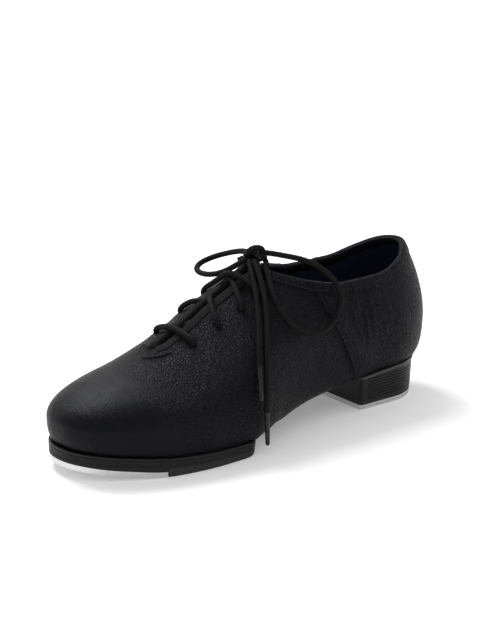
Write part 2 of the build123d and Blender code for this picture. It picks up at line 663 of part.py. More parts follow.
def build_lace():
    first = crossing_route(1)
    second = crossing_route(-1)
    cord("lace_crossings", list(reversed(second))[:-1] + first)
    keep("lace_knot", Pos(*KNOT) * scale(Sphere(1), by=KNOT_SIZE))
    cord("lace_loop_outer", OUTER_LOOP)
    cord("lace_loop_inner", INNER_LOOP)
    cord("lace_end_long", LONG_END)
    cord("lace_end_short", SHORT_END)
    aglet("aglet_long", LONG_END[-1], LONG_TIP)
    aglet("aglet_short", SHORT_END[-1], SHORT_TIP)


nails = heel_nails()
build_upper()
build_bindings()
build_crescent()
build_tongue()
build_insole()
build_sole()
build_heel()
keep("heel_nails", Compound(children=nails))
build_lace()

os.makedirs("parts", exist_ok=True)
for node, shape in parts.items():
    export_step(shape, f"parts/{node}.step")
    print(f"{node:22s} {len(shape.solids())} solids {shape.volume:9.1f} mm3")
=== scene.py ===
import math
from functools import lru_cache

import bmesh
import bpy
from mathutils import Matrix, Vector, noise
from mathutils.bvhtree import BVHTree


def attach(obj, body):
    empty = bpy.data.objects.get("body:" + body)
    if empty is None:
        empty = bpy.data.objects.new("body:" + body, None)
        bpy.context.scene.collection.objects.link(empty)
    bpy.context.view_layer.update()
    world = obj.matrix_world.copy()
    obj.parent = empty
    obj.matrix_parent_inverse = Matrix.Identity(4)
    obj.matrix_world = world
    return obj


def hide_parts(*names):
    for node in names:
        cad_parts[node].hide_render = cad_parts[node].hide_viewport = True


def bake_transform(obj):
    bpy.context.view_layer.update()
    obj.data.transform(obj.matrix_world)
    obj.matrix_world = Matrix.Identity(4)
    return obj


# Tap shoe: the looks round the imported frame. The toe points to -Y, the heel to +Y, +X is the inner side.
# Shapes are worked out in millimetres and put down in metres. Stations s run from the toe tip to the heel.
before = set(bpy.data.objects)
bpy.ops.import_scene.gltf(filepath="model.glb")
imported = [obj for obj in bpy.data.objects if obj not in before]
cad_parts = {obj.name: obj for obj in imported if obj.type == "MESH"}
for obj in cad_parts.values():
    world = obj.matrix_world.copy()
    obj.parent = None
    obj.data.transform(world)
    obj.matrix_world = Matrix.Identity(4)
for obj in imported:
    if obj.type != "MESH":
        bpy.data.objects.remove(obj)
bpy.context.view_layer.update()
MM = 0.001

# ---- sizes, as the frame has them
LENGTH = 264.0
LEATHER = 1.3
LINED = 2.5
LINING_DEPTH = 1.95            # the lining's outside below the leather's outside
STIFFENER = 0.35               # thickness of the toe puff and the heel counter
FOLD_ROOM = 1.8                # how much deeper the lining lies where the vamp folds
PAST, FAR = 10.0, 200.0        # past the shoe's ends, and above everything
PUFF_END_S = 38.0
COUNTER_FRONT_S, COUNTER_TOP = 208.0, 68.0
STATIONS = [0, 25, 50, 80, 105, 120, 135, 165, 195, 230, 264]
WIDTH = {1: [40, 41, 44.5, 48, 48.5, 45, 39.5, 32.5, 31, 31, 31],
         -1: [40, 41, 44, 46.5, 47, 46, 43.5, 38, 34, 31, 31]}
FEATHER = {1: [34, 36.5, 41.5, 45, 44, 38, 32, 25, 25, 27, 27],
           -1: [34, 36, 40, 42.5, 43, 42, 39, 33, 28.5, 27, 27]}
BOTTOM_Z = [16, 13, 10.5, 9, 8.5, 9, 10.5, 15.5, 20, 23, 25]
RIDGE_Z = [46, 48, 51.5, 64, 80, 88, 95.5, 106, 112, 116, 116]
WIDEST_Z = [29, 28, 27, 27, 30, 33, 37, 42, 44, 46, 48]
RIDGE_X = [4, 3, 1, 0, 0, 0, 0, 0, 0, 0, 0]
RIDGE_FULLNESS = [.55, .55, .5, .42, .36, .34, .32, .36, .4, .4, .4]
SIDE_FULLNESS = [.55, .6, .6, .55, .5, .5, .5, .5, .5, .45, .45]
TOE_PLAN_R, TOE_TOP_R, TOE_Z, TOE_POWER = 62.0, 46.0, 29.0, 2.2
HEEL_PLAN_R, HEEL_TOP_R, HEEL_Z, HEEL_POWER = 40.0, 50.0, 50.0, 2.1

TOE_TUCK, HEEL_TUCK = 0.45, 1.0        # how the feather line's depth changes round the toe and the heel

COLLAR_S = [128, 148, 165, 190, 215, 235, 250, 264]
COLLAR_Z = [99, 92, 86, 81.5, 82, 87, 93, 95]
THROAT_S = [70, 76, 100, 125, 150]
THROAT_HALF = [0.6, 3.6, 2.8, 3.4, 4.6]
THROAT_X_S = [60, 75, 95, 115, 150]
THROAT_X = [-3.5, -3.5, -1.5, 0, 0]
EYELET_S = [84, 100, 116, 131]
EYELET_X = 18.0
SEAM_FOOT_S = 204.75           # where the quarter seam's plane meets the ground
SEAM_LEAN = 0.4875             # how far it leans to the toe for each millimetre up

SOLE_S = [0, 25, 50, 75, 97, 110, 122]
GROUND_Z = [6.2, 2.4, 0, 0, 0, 2.3, 5.2]
OUTSOLE_Z = [10.8, 7.2, 5.1, 4.4, 3.8, 4.4, 6.3]
MIDSOLE_Z = [13.3, 10.3, 7.9, 6.7, 6.0, 6.1, 7.2]
SOLE_MARGIN = 2.6
SOLE_STEP = 0.4
SOLE_END_S = 121.0
TAIL_S = 102.0
PAD_S = 46.6

LACE = 3.6
CROSS_BELOW = {1: -6.4, -1: -1.2}
CROSS_THROUGH = {1: -3.4, -1: 1.6}
CROSS_ABOVE = {1: 2.2, -1: 7.2}
OUTER_LOOP = [(-3, 7, 103), (-11, 9, 102), (-20, 9.8, 99.5), (-28.6, 8.4, 96.5), (-35.4, 3.9, 93.5),
              (-37.5, -3.2, 91), (-33.8, -9.6, 89.6), (-26.2, -13, 89.2), (-17.5, -13, 90), (-9.5, -10, 92.3),
              (-4, -4, 96.5), (-1.5, 2.5, 100.5)]
INNER_LOOP = [(1, 10, 104), (5, 16, 103), (10.5, 22.5, 101.5), (15.5, 30, 99.5), (20.5, 37, 96),
              (24.8, 42.5, 90.5), (28.5, 46.8, 84), (30.4, 48.4, 76.5), (31.8, 46, 69), (33.6, 40, 63),
              (35.3, 31, 59.8), (36, 21.5, 60), (35.3, 13, 64.2), (33.4, 6.5, 70), (30.1, 2.9, 76),
              (25.3, 2.4, 82.3), (19.8, 4, 88.2), (14, 6.4, 93.6), (8, 8.5, 98.6)]
LONG_END = [(5, 3.8, 100.6), (11.5, 1.6, 95.6), (18, -0.8, 89.6), (24.2, -3.4, 82.6), (31.4, -8.2, 73),
            (38.2, -13.8, 63), (44, -17.9, 53.8), (48.5, -21.2, 44.2), (51, -23.4, 34), (51.4, -23.7, 27.5)]
LONG_TIP = (52.6, -24, 7.6)
SHORT_END = [(1.5, 2.6, 100.2), (7.7, -0.8, 95.8), (13.4, -3.4, 91.1), (19.8, -6.4, 84.8), (27.5, -11, 76),
             (34.5, -16, 67.1), (40, -20.4, 59.1), (43.6, -23, 52.6)]
SHORT_TIP = (53.1, -29.2, 35.6)


# ---- curves
def smooth(xs, ys, x):
    """A smooth curve through (xs, ys) that never overshoots its points."""
    n = len(xs)
    step = [xs[i + 1] - xs[i] for i in range(n - 1)]
    rise = [(ys[i + 1] - ys[i]) / step[i] for i in range(n - 1)]
    slope = [rise[0]] + [0.0] * (n - 2) + [rise[-1]]
    for i in range(1, n - 1):
        if rise[i - 1] * rise[i] > 0:
            before = 2 * step[i] + step[i - 1]
            after = step[i] + 2 * step[i - 1]
            slope[i] = (before + after) / (before / rise[i - 1] + after / rise[i])
    i = max(k for k in range(n - 1) if k == 0 or xs[k] <= x)
    t = min(max((x - xs[i]) / step[i], 0.0), 1.0)
    after = 3 * t**2 - 2 * t**3
    bend = (t**3 - 2 * t**2 + t) * slope[i] + (t**3 - t**2) * slope[i + 1]
    return (1 - after) * ys[i] + after * ys[i + 1] + step[i] * bend


def nose(distance, radius, power):
    q = min(max(1 - distance / radius, 0.0), 1.0)
    return (1 - q**power) ** (1 / power)


def ease(a, b, x):
    """From 0 at a to 1 at b, smoothly."""
    t = min(max((x - a) / (b - a), 0.0), 1.0)
    return t * t * (3 - 2 * t)


def at(table, s):
    return smooth(STATIONS, table, s)


def y_of(s):
    return s - LENGTH / 2


def s_of(p):
    return p.y + LENGTH / 2


def throat_x(s):
    return smooth(THROAT_X_S, THROAT_X, s)


def throat_half(s):
    return smooth(THROAT_S, THROAT_HALF, s)


def collar_z(s):
    return smooth(COLLAR_S, COLLAR_Z, s)


def behind_seam(p):
    """How far a point lies behind the quarter seam's plane."""
    return (p[1] - y_of(SEAM_FOOT_S) + SEAM_LEAN * p[2]) / math.hypot(1, SEAM_LEAN)


def bisect(test, low, high, steps=26):
    """Where test turns from true, at low, to false, at high."""
    for _ in range(steps):
        middle = (low + high) / 2
        if test(middle):
            low = middle
        else:
            high = middle
    return (low + high) / 2


# ---- the shoe's skin
def plan(s):
    return nose(s, TOE_PLAN_R, TOE_POWER) * nose(LENGTH - s, HEEL_PLAN_R, HEEL_POWER)


@lru_cache(maxsize=None)
def half_section(s, side, inset):
    """Bezier handles of one side of a section: from the ridge to the widest line in x and z, and from there
    to the feather line in depth below the outline and z."""
    toe_top, heel_top = nose(s, TOE_TOP_R, TOE_POWER), nose(LENGTH - s, HEEL_TOP_R, 2)
    mid = TOE_Z + (at(WIDEST_Z, s) - TOE_Z) * toe_top
    top = TOE_Z + (at(RIDGE_Z, s) - TOE_Z) * toe_top
    low = at(BOTTOM_Z, s) + inset
    mid = HEEL_Z + (mid - HEEL_Z) * heel_top
    top = max(HEEL_Z + (top - HEEL_Z) * heel_top - inset, mid)
    place, inward = outline(s, side)
    wide = side * max(side * (place.x + inward.x * inset), 0.0)
    ridge = at(RIDGE_X, s) * min(1, 2 * plan(s))
    upper = ((ridge, top), (ridge + at(RIDGE_FULLNESS, s) * (wide - ridge), top),
             (wide, mid + at(SIDE_FULLNESS, s) * (top - mid)), (wide, mid))
    turned = inward.y * abs(inward.y)
    share = 1 - TOE_TUCK * max(turned, 0) - HEEL_TUCK * min(turned, 0)
    tuck = (at(WIDTH[side], s) - at(FEATHER[side], s)) * share
    lower = ((0, mid), (0, low + 0.45 * (mid - low)), (0.25 * tuck, low + 0.12 * (mid - low)), (tuck, low))
    return upper, lower


@lru_cache(maxsize=None)
def outline(s, side):
    """The widest line's point in plan, and the way in from it."""
    def x_at(s):
        return side * at(WIDTH[side], s) * plan(s)
    place = Vector((x_at(s), y_of(s)))
    if s <= 0 or s >= LENGTH:
        return place, Vector((0, 1 if s <= 0 else -1))
    a, b = max(s - 0.01, 0), min(s + 0.01, LENGTH)
    along = Vector((x_at(b) - x_at(a), b - a)).normalized()
    return place, Vector((-along.y, along.x)) * side


def skin(s, side, t, inset=0.0):
    """A point of the upper: t is 0 on the ridge, 1 on the widest line and 2 on the feather line."""
    if t < 0:
        side, t = -side, -t
    upper, lower = half_section(s, side, inset)
    handles, t = (upper, t) if t <= 1 else (lower, t - 1)
    share = ((1 - t)**3, 3 * (1 - t)**2 * t, 3 * (1 - t) * t**2, t**3)
    first = sum(w * q[0] for w, q in zip(share, handles))
    z = sum(w * q[1] for w, q in zip(share, handles))
    if handles is upper:
        return Vector((first, y_of(s) * (1 - 2 * inset / LENGTH), z))
    place, inward = outline(s, side)
    p = place + inward * (inset + first)
    return Vector((side * max(side * p.x, 0.0), p.y, z))


def t_at_x(s, side, x, inset=0.0):
    return bisect(lambda t: side * (skin(s, side, t, inset).x - x) < 0, -1, 1)


def skin_at(s, x, inset=0.0):
    return skin(s, 1, t_at_x(s, 1, x, inset), inset)


def off_skin(s, x, height):
    """A point above the upper's top half, at a station and an x, along the surface's normal."""
    d = 0.5
    across = skin_at(s, x + d) - skin_at(s, x - d)
    along = skin_at(s + d, x) - skin_at(s - d, x)
    return skin_at(s, x) + across.cross(along).normalized() * height


HEEL_TOP_S = bisect(lambda s: skin(s, 1, 0).z > collar_z(s), 236, 262)


def split_x(s):
    """The middle line, from the ridge at the toe to the throat."""
    lean = ease(20, 68, s)
    return at(RIDGE_X, s) * plan(s) * (1 - lean) + throat_x(s) * lean


def top_t(s, side, inset=0.0):
    """Where a section's side ends: on the middle line, at the throat's edge or at the topline."""
    if s <= THROAT_S[0]:
        return t_at_x(s, side, split_x(s), inset)
    if s >= HEEL_TOP_S:
        return 0.0

    def cut(t):
        p = skin(s, side, t, inset)
        in_throat = s < THROAT_S[-1] and side * (p.x - throat_x(s)) < throat_half(s)
        return in_throat or (s > COLLAR_S[0] and p.z > collar_z(s))
    return bisect(cut, -0.4 if s < THROAT_S[-1] else 0.0, 1.0)


def throat_edge_z(s):
    return skin_at(s, throat_x(s) + throat_half(s)).z


CORNER_S = bisect(lambda s: throat_edge_z(s) < collar_z(s), COLLAR_S[0], THROAT_S[-1])


# ---- meshes
def add_object(name, mesh):
    obj = bpy.data.objects.new(name, mesh)
    bpy.context.scene.collection.objects.link(obj)
    return obj


def mesh_object(name, verts, faces, clean=False):
    """A smooth-shaded object from points in millimetres."""
    bm = bmesh.new()
    points = [bm.verts.new(Vector(v) * MM) for v in verts]
    for face in faces:
        if len(set(face)) > 2:
            bm.faces.new([points[i] for i in dict.fromkeys(face)])
    if clean:
        bmesh.ops.remove_doubles(bm, verts=bm.verts, dist=1e-7)
        bmesh.ops.recalc_face_normals(bm, faces=bm.faces)
    return from_bmesh(name, bm)


def from_bmesh(name, bm, scale=1.0):
    if scale != 1.0:
        bmesh.ops.scale(bm, vec=(scale, scale, scale), verts=bm.verts)
    for face in bm.faces:
        face.smooth = True
    mesh = bpy.data.meshes.new(name)
    bm.to_mesh(mesh)
    bm.free()
    return add_object(name, mesh)


def baked(obj):
    """Applies the modifiers."""
    depsgraph = bpy.context.evaluated_depsgraph_get()
    mesh = bpy.data.meshes.new_from_object(obj.evaluated_get(depsgraph))
    obj.modifiers.clear()
    obj.data = mesh
    return obj


def thickened(obj, thickness):
    solid = obj.modifiers.new("thickness", "SOLIDIFY")
    solid.thickness = thickness * MM
    solid.offset = -1
    return baked(obj)


def joined(name, objects):
    """One object from several meshes, in the same place."""
    bm = bmesh.new()
    for obj in objects:
        bm.from_mesh(obj.data)
        bpy.data.objects.remove(obj)
    return from_bmesh(name, bm)


def loft(rings, closed_rings=True, caps=True):
    """Vertices and faces through rings of equally many points."""
    count = len(rings[0])
    verts = [p for ring in rings for p in ring]
    span = count if closed_rings else count - 1
    faces = []
    for i in range(len(rings) - 1):
        for j in range(span):
            a, b = i * count + j, i * count + (j + 1) % count
            faces.append((a, b, b + count, a + count))
    if caps:
        faces.append(tuple(reversed(range(count))))
        faces.append(tuple(range(len(verts) - count, len(verts))))
    return verts, faces


def resample(points, step):
    """The same line with points about a step apart."""
    lengths = [0.0]
    for a, b in zip(points, points[1:]):
        lengths.append(lengths[-1] + (b - a).length)
    count = max(2, round(lengths[-1] / step))
    found, k = [], 0
    for i in range(count + 1):
        want = lengths[-1] * i / count
        while k < len(points) - 2 and lengths[k + 1] < want:
            k += 1
        span = lengths[k + 1] - lengths[k]
        found.append(points[k].lerp(points[k + 1], (want - lengths[k]) / span if span else 0))
    return found


def tangents(points):
    last = len(points) - 1
    return [(points[min(i + 1, last)] - points[max(i - 1, 0)]).normalized() for i in range(last + 1)]


def round_ring(middle, side, other, radius, count):
    turns = [2 * math.pi * j / count for j in range(count)]
    return [middle + side * (radius * math.cos(a)) + other * (radius * math.sin(a)) for a in turns]


# ---- materials
class Paint:
    """A Principled material under construction, from procedural nodes in the object's own space."""

    def __init__(self, name, **values):
        self.material = bpy.data.materials.new(name)
        self.material.use_nodes = True
        self.tree = self.material.node_tree
        self.shader = self.tree.nodes["Principled BSDF"]
        for key, value in values.items():
            self.shader.inputs[key.replace("_", " ")].default_value = value
        self.where = self.add("ShaderNodeTexCoord").outputs["Object"]

    def add(self, kind, inputs=(), **settings):
        node = self.tree.nodes.new(kind)
        for key, value in settings.items():
            setattr(node, key, value)
        for key, value in dict(inputs).items():
            if isinstance(value, bpy.types.NodeSocket):
                self.tree.links.new(value, node.inputs[key])
            else:
                node.inputs[key].default_value = value
        return node

    def stretch(self, x, y, z):
        return self.add("ShaderNodeMapping", {"Vector": self.where, "Scale": (x, y, z)}).outputs["Vector"]

    def noise(self, size, detail=2.0, where=None, rough=0.5):
        """Noise whose lumps are about size millimetres."""
        return self.add("ShaderNodeTexNoise", {"Vector": where or self.where, "Scale": 1 / (size * MM),
                                               "Detail": detail, "Roughness": rough}).outputs["Fac"]

    def cells(self, size, feature="F1", where=None):
        return self.add("ShaderNodeTexVoronoi", {"Vector": where or self.where, "Scale": 1 / (size * MM)},
                        feature=feature).outputs["Distance"]

    def remap(self, value, low, high, to_low, to_high):
        return self.add("ShaderNodeMapRange", {"Value": value, "From Min": low, "From Max": high,
                                               "To Min": to_low, "To Max": to_high}).outputs["Result"]

    def math(self, operation, a, b):
        return self.add("ShaderNodeMath", {0: a, 1: b}, operation=operation).outputs[0]

    def height(self, axis):
        return self.add("ShaderNodeSeparateXYZ", {"Vector": self.where}).outputs[axis]

    def colour(self, fac, dark, light):
        mix = self.add("ShaderNodeMix", {"Factor": fac}, data_type="RGBA")
        mix.inputs[6].default_value = (*dark, 1)
        mix.inputs[7].default_value = (*light, 1)
        self.tree.links.new(mix.outputs[2], self.shader.inputs["Base Color"])

    def set(self, key, value):
        self.tree.links.new(value, self.shader.inputs[key])

    def bump(self, height, depth, under=None):
        """Relief of depth millimetres, on top of another."""
        inputs = {"Height": height, "Distance": depth * MM, "Strength": 1.0}
        if under:
            inputs["Normal"] = under
        normal = self.add("ShaderNodeBump", inputs).outputs["Normal"]
        self.set("Normal", normal)
        return normal


PEBBLE = 1.35


def leather_paint():
    """Fine-grained black leather: pebbled on the vamp and quarters, nearly smooth over the toe box."""
    p = Paint("black_leather", Specular_IOR_Level=0.11, Specular_Tint=(0.86, 0.89, 1, 1))
    wander = p.add("ShaderNodeTexNoise", {"Vector": p.where, "Scale": 380.0, "Detail": 1.0}).outputs["Color"]
    scaled = p.add("ShaderNodeVectorMath", {0: wander, 3: 0.0009}, operation="SCALE").outputs[0]
    moved = p.add("ShaderNodeVectorMath", {0: p.where, 1: scaled}, operation="ADD").outputs[0]
    pebbles = p.cells(PEBBLE, "SMOOTH_F1", moved)
    creases = p.remap(p.cells(PEBBLE, "DISTANCE_TO_EDGE", moved), 0, 0.22, 0, 1)
    pores = p.noise(0.45, 2.0)
    folds = p.noise(9.0, 3.0, p.stretch(1, 1.3, 0.5))
    grained = p.remap(p.height("Y"), y_of(38) * MM, y_of(70) * MM, 0.18, 1)
    grain = p.math("MULTIPLY", p.math("SUBTRACT", creases, pebbles), grained)
    p.bump(pores, 0.05, p.bump(grain, 0.4, p.bump(folds, 0.35)))
    # Painted shade: the colour follows the grain's relief, darker in the creases between the pebbles and lighter on
    # the pebble tops.
    p.colour(p.remap(grain, 0, 0.9, 0, 1), (0.0022, 0.0022, 0.0026), (0.011, 0.011, 0.0135))
    p.set("Roughness", p.remap(p.math("ADD", grain, folds), 0.2, 1.3, 0.5, 0.32))
    return p.material


def fabric_paint(name, dark, light, thread=0.45, rough=0.82, relief=0.12):
    """Woven cloth: two crossed sets of threads, a little uneven."""
    p = Paint(name, Sheen_Weight=0.03, Specular_IOR_Level=0.15)
    waves = [p.add("ShaderNodeTexWave", {"Vector": p.where, "Scale": 0.314 / (thread * MM), "Distortion": 0.6},
                   bands_direction=axis).outputs["Fac"] for axis in ("Y", "Z")]
    weave = p.math("MAXIMUM", *waves)
    patches = p.noise(6.0, 3.0)
    p.bump(weave, relief, p.bump(patches, 0.2))
    p.colour(p.math("MULTIPLY", weave, patches), dark, light)
    p.set("Roughness", p.remap(patches, 0.3, 0.7, rough - 0.06, rough + 0.06))
    return p.material


def lace_paint():
    p = Paint("lace_braid", Specular_IOR_Level=0.12)
    fibres = p.noise(0.25, 3.0, rough=0.7)
    p.bump(fibres, 0.05)
    p.colour(fibres, (0.0015, 0.0015, 0.0018), (0.008, 0.008, 0.0088))
    p.set("Roughness", p.remap(fibres, 0.3, 0.7, 0.55, 0.75))
    return p.material


def edge_paint(name, dark, light, rough, layer=0.5):
    """A trimmed edge of stacked material: fine level lines, burnished."""
    p = Paint(name, Specular_IOR_Level=0.2)
    lines = p.noise(layer, 3.0, p.stretch(0.06, 0.06, 1))
    scuffs = p.noise(3.0, 4.0)
    p.bump(lines, 0.07, p.bump(scuffs, 0.05))
    p.colour(p.math("MULTIPLY", lines, scuffs), dark, light)
    p.set("Roughness", p.remap(scuffs, 0.3, 0.7, rough - 0.08, rough + 0.1))
    return p.material


def metal_paint(name, tone, rough, lines=0.3):
    """Bright metal with fine machining lines and faint scuffs."""
    p = Paint(name, Metallic=1.0)
    brushed = p.noise(lines, 2.0, p.stretch(0.02, 0.02, 1))
    scuffs = p.noise(2.2, 5.0, rough=0.7)
    p.bump(brushed, 0.01, p.bump(scuffs, 0.01))
    p.colour(scuffs, tuple(0.93 * c for c in tone), tone)
    p.set("Roughness", p.remap(p.math("ADD", brushed, scuffs), 0.6, 1.4, rough - 0.07, rough + 0.1))
    return p.material


def grain_paint(name, dark, light, rough, size=0.5, relief=0.05, spec=0.2):
    """Moulded material with a fine grain."""
    p = Paint(name, Specular_IOR_Level=spec)
    grain = p.noise(size, 3.0)
    cloud = p.noise(12.0, 2.0)
    p.bump(grain, relief)
    p.colour(p.math("MULTIPLY", grain, cloud), dark, light)
    p.set("Roughness", p.remap(cloud, 0.3, 0.7, rough - 0.06, rough + 0.06))
    return p.material


def dress(obj, paint):
    obj.data.materials.clear()
    obj.data.materials.append(paint)
    return obj


PAINT = {
    "leather": leather_paint(),
    "lining": fabric_paint("navy_lining", (0.004, 0.005, 0.016), (0.012, 0.014, 0.045)),
    "tape": fabric_paint("black_tape", (0.004, 0.004, 0.0045), (0.018, 0.018, 0.02), 0.3),
    "thread": grain_paint("thread", (0.006, 0.006, 0.007), (0.025, 0.025, 0.027), 0.5, 0.2, spec=0.3),
    "stiffener": fabric_paint("stiffener_felt", (0.02, 0.018, 0.016), (0.05, 0.046, 0.042)),
    "board": edge_paint("fibreboard", (0.16, 0.1, 0.06), (0.38, 0.27, 0.18), 0.8),
    "sole": edge_paint("burnished_sole", (0.004, 0.004, 0.004), (0.018, 0.018, 0.019), 0.45),
    "soundboard": edge_paint("black_fibre", (0.006, 0.006, 0.006), (0.02, 0.02, 0.02), 0.6),
    "rubber": grain_paint("dark_rubber", (0.012, 0.012, 0.0125), (0.05, 0.05, 0.052), 0.8, 0.6, 0.08, 0.3),
    "heel": edge_paint("heel_plastic", (0.004, 0.004, 0.004), (0.014, 0.014, 0.015), 0.4, 0.8),
    # painted highlight: the heel rand is a lighter grey than the black heel and leather, to show a thin light line
    # along the heel's junction with the upper
    "rand": grain_paint("heel_rand", (0.03, 0.03, 0.031), (0.09, 0.09, 0.092), 0.35, 0.6),
    "tap": metal_paint("tap_aluminium", (0.6, 0.6, 0.61), 0.26),
    "screw": metal_paint("screw_steel", (0.62, 0.62, 0.64), 0.3),
    "lace": lace_paint(),
    "aglet": grain_paint("aglet_film", (0.004, 0.004, 0.0045), (0.01, 0.01, 0.011), 0.28, 0.9, 0.004, 0.3),
}


# ---- upper
def upper_stations():
    toe_rows, mid_rows, back_rows, end_rows = 46, 140, 18, 26
    rows = [TOE_PLAN_R * (1 - math.cos(math.pi / 2 * k / toe_rows)) for k in range(toe_rows + 1)]
    first, last = TOE_PLAN_R, 234.0
    rows += [first + (last - first) * k / mid_rows for k in range(1, mid_rows + 1)]
    rows += [HEEL_TOP_S - (HEEL_TOP_S - last) * (1 - k / back_rows)**2 for k in range(1, back_rows + 1)]
    rows += [LENGTH - (LENGTH - HEEL_TOP_S) * (1 - k / end_rows)**2 for k in range(1, end_rows + 1)]
    return rows


def upper_ring(s, inset, upper_rows, lower_rows, bottom_rows):
    """A section from the inner top edge down, across the bottom and up to the outer top edge."""
    ring = []
    for side in (1, -1):
        top = top_t(s, side, inset)
        half = [skin(s, side, top + (1 - top) * k / upper_rows, inset) for k in range(upper_rows)]
        half += [skin(s, side, 1 + k / lower_rows, inset) for k in range(lower_rows + 1)]
        ring.append(half)
    right, left = ring
    across = [right[-1].lerp(left[-1], k / bottom_rows) for k in range(1, bottom_rows)]
    return right + across + left[::-1]


def upper_sheet(inset, upper_rows=40, lower_rows=22, bottom_rows=14):
    """The whole upper at a depth as a bmesh in millimetres, open at the throat and the topline."""
    bm = bmesh.new()
    rows = []
    for s in upper_stations():
        ring = upper_ring(s, inset, upper_rows, lower_rows, bottom_rows)
        rows.append([bm.verts.new(p) for p in ring])
    for a, b in zip(rows, rows[1:]):
        for j in range(len(a) - 1):
            bm.faces.new((a[j], a[j + 1], b[j + 1], b[j]))
    bmesh.ops.remove_doubles(bm, verts=bm.verts, dist=1e-4)
    bmesh.ops.dissolve_degenerate(bm, edges=bm.edges, dist=1e-5)
    bm.normal_update()
    return bm


EYELETS = [(s, side, off_skin(s, throat_x(s) + side * EYELET_X, 0)) for s in EYELET_S for side in (1, -1)]


WAVE, RIPPLE = (34.0, 0.32), (9.0, 0.1)          # size and height of the loose leather's unevenness
ARCH_FOLD = 0.45
PUCKER_PITCH, PUCKER = 4.2, 0.9
EYELET_REACH, EYELET_RIM_R, EYELET_RIM, EYELET_DIMPLE = 14.0, 5.2, 0.35, 0.9


def relief(p):
    """How far the worn leather stands out or in at a point, in millimetres."""
    s = s_of(p)
    # slow waves, least over the stiffened ends
    loose = ease(38, 80, s) * (1 - 0.6 * ease(225, 262, s))
    out = WAVE[1] * noise.noise(p / WAVE[0]) * loose + RIPPLE[1] * noise.noise(p / RIPPLE[0]) * loose
    # slanted folds in the soft arch
    arch = ease(105, 135, s) * (1 - ease(175, 200, s)) * (1 - ease(60, 80, p.z))
    out += ARCH_FOLD * arch * noise.noise(Vector((p.x / 60, (p.y - 0.5 * p.z) / 14, p.z / 60)))
    # puckers behind the quarter seam
    back = behind_seam(p)
    puckers = ease(2, 9, back) * (1 - ease(28, 52, back)) * ease(34, 52, p.z)
    wave = noise.noise(Vector((p.x / 80, (p.y + 0.12 * p.z) / PUCKER_PITCH, p.z / 30)))
    out += PUCKER * puckers * (abs(wave) * 1.6 - 0.3)
    # a rim and a dimple where the lace goes through; the leather has no hole here
    for _, _, centre in EYELETS:
        d = (p - centre).length
        if d < EYELET_REACH:
            out += EYELET_RIM * math.exp(-((d - EYELET_RIM_R) / 2.2)**2) - EYELET_DIMPLE * math.exp(-(d / 2.8)**2)
    return out


def worn(bm, extra=lambda p: 0.0, amount=1.0):
    moves = [(v, v.normal * (amount * relief(v.co) + extra(v.co))) for v in bm.verts]
    for v, move in moves:
        v.co += move
    bm.normal_update()
    return bm


def trimmed(bm, distance, keep_front):
    """The part in front of, or behind, a plane at a distance behind the quarter seam."""
    lean = Vector((0, 1, SEAM_LEAN)).normalized()
    on_plane = Vector((0, y_of(SEAM_FOOT_S), 0)) + lean * distance
    bmesh.ops.bisect_plane(bm, geom=bm.verts[:] + bm.edges[:] + bm.faces[:], plane_co=on_plane, plane_no=lean,
                           clear_outer=keep_front, clear_inner=not keep_front)
    return bm


SEAM_LAP = 6.0
LAP_RISE = 0.9
SEAM_ROWS = (1.4, 4.6)         # the two rows of stitches, behind the seam
SEAM_ROW_DEPTH = 0.32


def lap(p):
    """The rear quarter lies on top of the front piece at the seam, and runs out flush behind it."""
    back = behind_seam(p)
    stitched = sum(SEAM_ROW_DEPTH * math.exp(-((back - row) / 0.6)**2) for row in SEAM_ROWS)
    return LAP_RISE * ease(-0.4, 0.9, back) * (1 - ease(5, 20, back)) - stitched


sheet = upper_sheet(0.0)
front_sheet = trimmed(worn(sheet.copy()), SEAM_LAP, True)
rear_sheet = trimmed(worn(sheet, lap), 0.0, False)
front_tree = BVHTree.FromBMesh(front_sheet)
rear_tree = BVHTree.FromBMesh(rear_sheet)


def hug(p, height=0.0):
    """The nearest point of the leather's outside, raised along its normal, and that normal."""
    tree = rear_tree if behind_seam(p) > 0 else front_tree
    place, normal, _, _ = tree.find_nearest(p)
    return place + normal * height, normal


def bends(obj):
    """Bakes the transform of a piece of the whole shoe into its mesh."""
    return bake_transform(obj)


def settle(obj, paint, slot, *nodes, body="rearfoot"):
    """A piece's material, the nodes it stands for and its body; the slot is not used. With no body its transform is
    baked into its mesh.
    """
    dress(obj, PAINT[paint])
    if body:
        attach(obj, body)
    else:
        bends(obj)
    if nodes:
        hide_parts(*nodes)
    return obj


def fold_room(p):
    """How much lower the lining hangs where the vamp folds."""
    s = s_of(p)
    return -FOLD_ROOM * ease(32, 44, s) * (1 - ease(60, 73, s)) * ease(26, 40, p.z)


def build_upper():
    front = thickened(from_bmesh("upper_front", front_sheet, MM), LEATHER)
    settle(front, "leather", "upper_leather", "toe_vamp", "vamp_crease", "vamp_quarters", body=None)
    rear = thickened(from_bmesh("upper_rear_quarter", rear_sheet, MM), LEATHER)
    settle(rear, "leather", "upper_leather", "heel_quarter")
    lining = from_bmesh("upper_lining", worn(upper_sheet(LINING_DEPTH, 40, 22, 8), fold_room, 0.4), MM)
    lining = thickened(lining, LINED - LINING_DEPTH)
    settle(lining, "lining", "lining", "toe_lining", "vamp_lining", "heel_lining", body=None)


